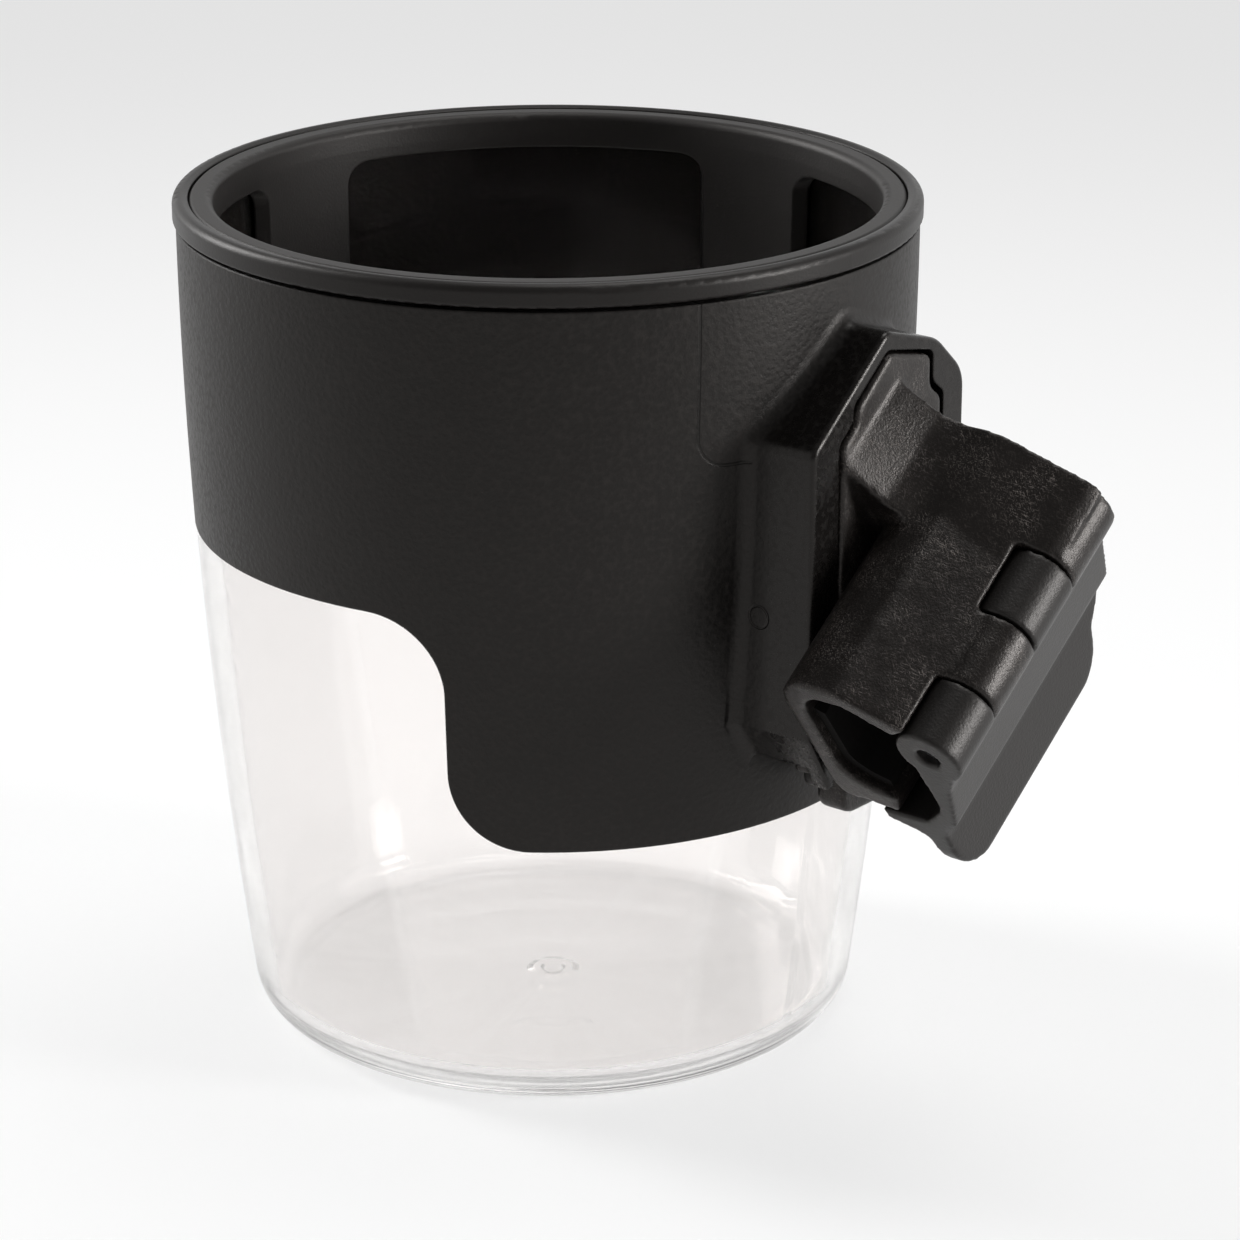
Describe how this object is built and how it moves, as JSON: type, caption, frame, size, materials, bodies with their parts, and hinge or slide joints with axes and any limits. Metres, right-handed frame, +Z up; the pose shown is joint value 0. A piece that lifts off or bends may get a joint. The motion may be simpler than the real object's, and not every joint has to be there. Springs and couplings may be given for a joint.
{
  "type": "clamp-on cup holder",
  "caption": "Cup holder: a clear tapered tumbler in a grained black sleeve with a rim ring, a windowed liner and a slide-on socket, carried by a tilted snap-shut tube clamp with a hinged jaw.",
  "frame": {"origin": "centre of the cup's foot, on the surface it stands on", "axes": "+Z up along the cup's axis, +X out through the middle of the clamp socket, +Y to the socket's left seen from outside"},
  "size_m": [0.1261, 0.095, 0.1098],
  "materials": {
    "clear_plastic": "clear, glossy",
    "grained_black": "fine leather grain, low sheen",
    "rim_black": "satin",
    "liner_black": "fine spark grain, matt",
    "nylon_black": "glass-filled, speckled",
    "jaw_black": "satin, fine grain",
    "rubber_black": "matt",
    "acetal_black": "smooth",
    "steel": "ground"
  },
  "bodies": {
    "clamp": {"clamp_body": "nylon_black", "hinge_pin": "steel", "body_pad": "rubber_black"},
    "jaw": {"clamp_jaw": "jaw_black", "jaw_pad": "rubber_black"},
    "holder": {"tumbler": "clear_plastic", "sleeve": "grained_black", "rim_ring": "rim_black", "latch_pin": "steel"},
    "latch": {"release_latch": "acetal_black", "latch_spring": "steel"},
    "liner": {"liner": "liner_black"}
  },
  "joints": [
    {"name": "holder_lift", "type": "slide", "parent": "clamp", "child": "holder", "axis": [0, 0, 1], "range_m": [0, 0.056]},
    {"name": "jaw_hinge", "type": "hinge", "parent": "clamp", "child": "jaw", "pos_m": [0.0741, -0.00394, 0.06834], "axis": [0, -0.7986, -0.6018], "range_deg": [0, 100]},
    {"name": "latch_press", "type": "hinge", "parent": "holder", "child": "latch", "pos_m": [0.0476, 0, 0.06], "axis": [0, 1, 0], "range_deg": [0, 6], "stiffness_Nm_per_rad": 0.05},
    {"name": "liner_lift", "type": "slide", "parent": "holder", "child": "liner", "axis": [0, 0, 1], "range_m": [0, 0.04]}
  ]
}
